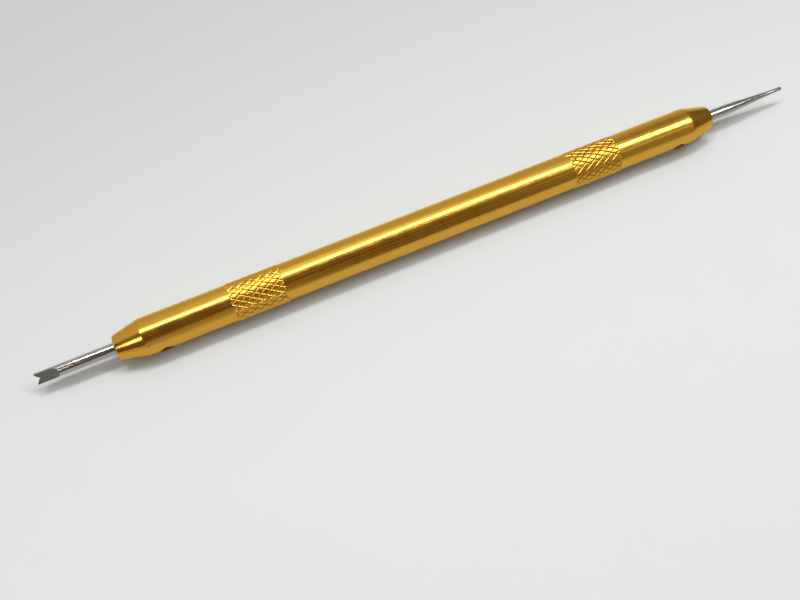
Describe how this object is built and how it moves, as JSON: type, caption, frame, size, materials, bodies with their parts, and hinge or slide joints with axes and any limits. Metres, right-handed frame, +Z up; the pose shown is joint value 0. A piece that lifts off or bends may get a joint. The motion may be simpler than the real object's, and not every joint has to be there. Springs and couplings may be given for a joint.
{
  "type": "spring bar tool",
  "caption": "Slim double-ended hand tool for watch straps: a knurled gold-coloured handle with a forked blade at one end and a stepped pin at the other, each clamped by a set screw.",
  "frame": {"origin": "on the surface the tool lies on, under the middle of its length", "axes": "+X along the tool from the fork to the pin, +Z up, and the set screws point towards -Y"},
  "size_m": [0.139, 0.0066, 0.0065],
  "materials": {
    "anodised_gold": "polished, gold anodised",
    "tip_steel": "polished shank, matte ground blade",
    "screw_steel": "blackened"
  },
  "bodies": {
    "handle": {"handle": "anodised_gold"},
    "fork_tip": {"fork_tip": "tip_steel"},
    "pin_tip": {"pin_tip": "tip_steel"},
    "fork_tip_set_screw": {"fork_tip_set_screw": "screw_steel"},
    "pin_tip_set_screw": {"pin_tip_set_screw": "screw_steel"}
  },
  "joints": [
    {"name": "fork_tip_slide", "type": "slide", "parent": "handle", "child": "fork_tip", "axis": [-1, 0, 0], "range_m": [0, 0.016]},
    {"name": "pin_tip_slide", "type": "slide", "parent": "handle", "child": "pin_tip", "axis": [1, 0, 0], "range_m": [0, 0.016]},
    {"name": "fork_screw_slide", "type": "slide", "parent": "handle", "child": "fork_tip_set_screw", "axis": [0, -0.9659, -0.2588], "range_m": [0, 0.0026]},
    {"name": "pin_screw_slide", "type": "slide", "parent": "handle", "child": "pin_tip_set_screw", "axis": [0, -0.9659, -0.2588], "range_m": [0, 0.0026]}
  ]
}
